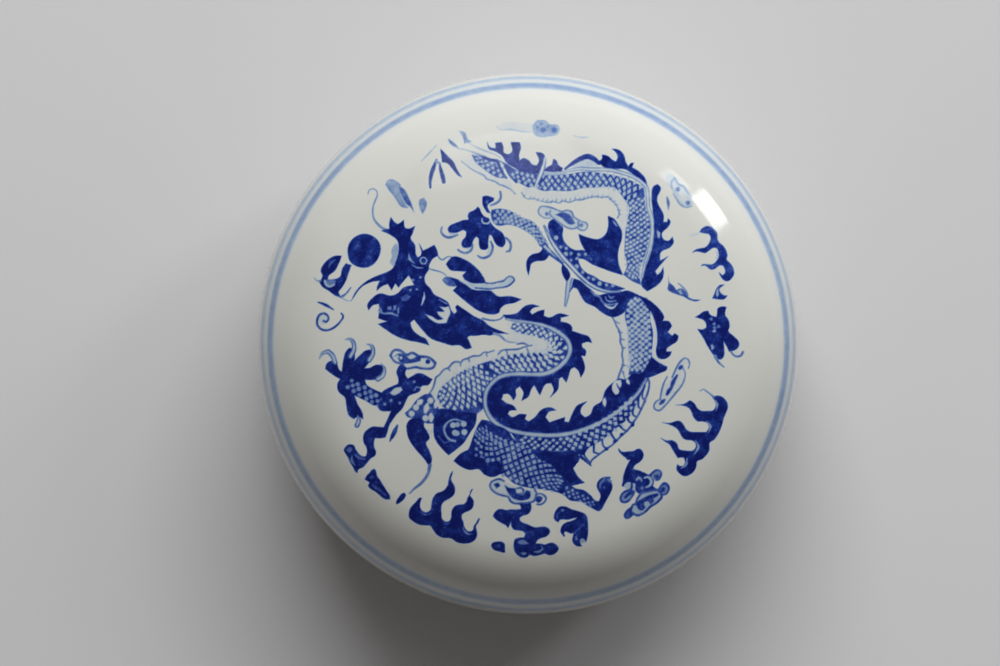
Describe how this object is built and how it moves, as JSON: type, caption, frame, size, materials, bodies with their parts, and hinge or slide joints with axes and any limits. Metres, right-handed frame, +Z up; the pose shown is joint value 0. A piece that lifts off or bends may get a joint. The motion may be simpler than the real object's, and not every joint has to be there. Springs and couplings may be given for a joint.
{
  "type": "seal paste box",
  "caption": "Round porcelain seal paste box: a domed lid with a painted blue dragon lifts off a footed base that holds a lump of red seal paste.",
  "frame": {"origin": "centre of the face that the foot ring stands on", "axes": "+Z up, along the axis that every piece is turned about; +Y towards the top of the dragon painting, +X to its right"},
  "size_m": [0.09, 0.09, 0.041],
  "materials": {
    "base_porcelain": "clear gloss glaze on white porcelain, bare on the foot, the seat and the collar",
    "lid_porcelain": "clear gloss glaze on white porcelain, bare on the lower edge",
    "cobalt_painting": "cobalt blue under a clear gloss glaze",
    "seal_paste": "soft oily cinnabar red paste with a satin sheen"
  },
  "bodies": {
    "base": {"base": "base_porcelain", "seal_paste": "seal_paste"},
    "lid": {"lid": "lid_porcelain"}
  },
  "joints": [
    {"name": "lid_lift", "type": "slide", "parent": "base", "child": "lid", "axis": [0, 0, 1], "range_m": [0, 0.08]}
  ]
}
